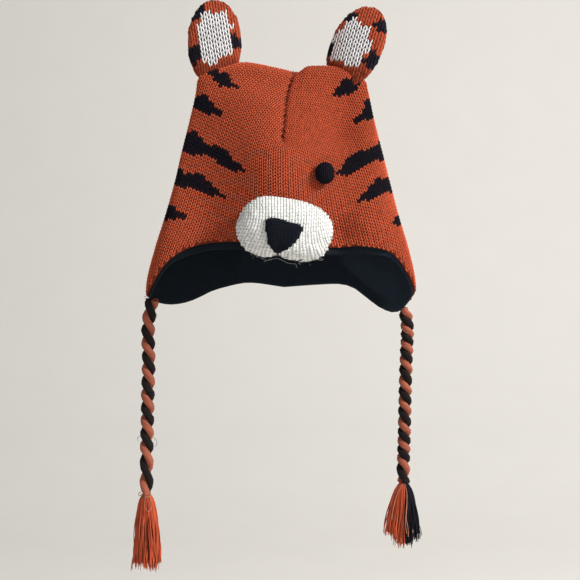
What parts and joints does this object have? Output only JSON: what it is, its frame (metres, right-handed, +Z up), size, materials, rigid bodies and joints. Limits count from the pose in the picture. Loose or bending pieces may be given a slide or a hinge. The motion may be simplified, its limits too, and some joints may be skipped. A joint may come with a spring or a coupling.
{
  "type": "knitted animal hat with ear flaps",
  "caption": "Knitted tiger-striped winter hat with a fleece lining, padded ears, stuffed muzzle, ear flaps and twisted tie cords ending in tassels.",
  "frame": {"origin": "inside of the crown, at the middle of its edge, where the top of a head touches the lining", "axes": "+Z up, the face looks along -Y, +X to the right as seen from the front (the wearer's left)"},
  "size_m": [0.2925, 0.1213, 0.5721],
  "materials": {
    "orange_knit": "orange stocking-stitch knit with black knitted-in stripes",
    "white_knit_ear": "orange knit with a white knitted-in patch and black marks",
    "cream_knit": "cream stocking-stitch knit over soft filling",
    "black_knit": "fine black knit",
    "black_fleece": "black fleece",
    "twisted_yarn": "one orange and one black bundle of yarn twisted together",
    "tassel_yarn": "loose cut yarn"
  },
  "bodies": {
    "root": {"knit_body": "orange_knit", "fleece_lining": "black_fleece", "left_ear": "white_knit_ear", "right_ear": "white_knit_ear", "muzzle": "cream_knit", "nose": "black_knit", "eye": "black_knit", "left_cord": "twisted_yarn", "right_cord": "twisted_yarn", "left_tassel": "tassel_yarn", "right_tassel": "tassel_yarn"}
  },
  "joints": []
}
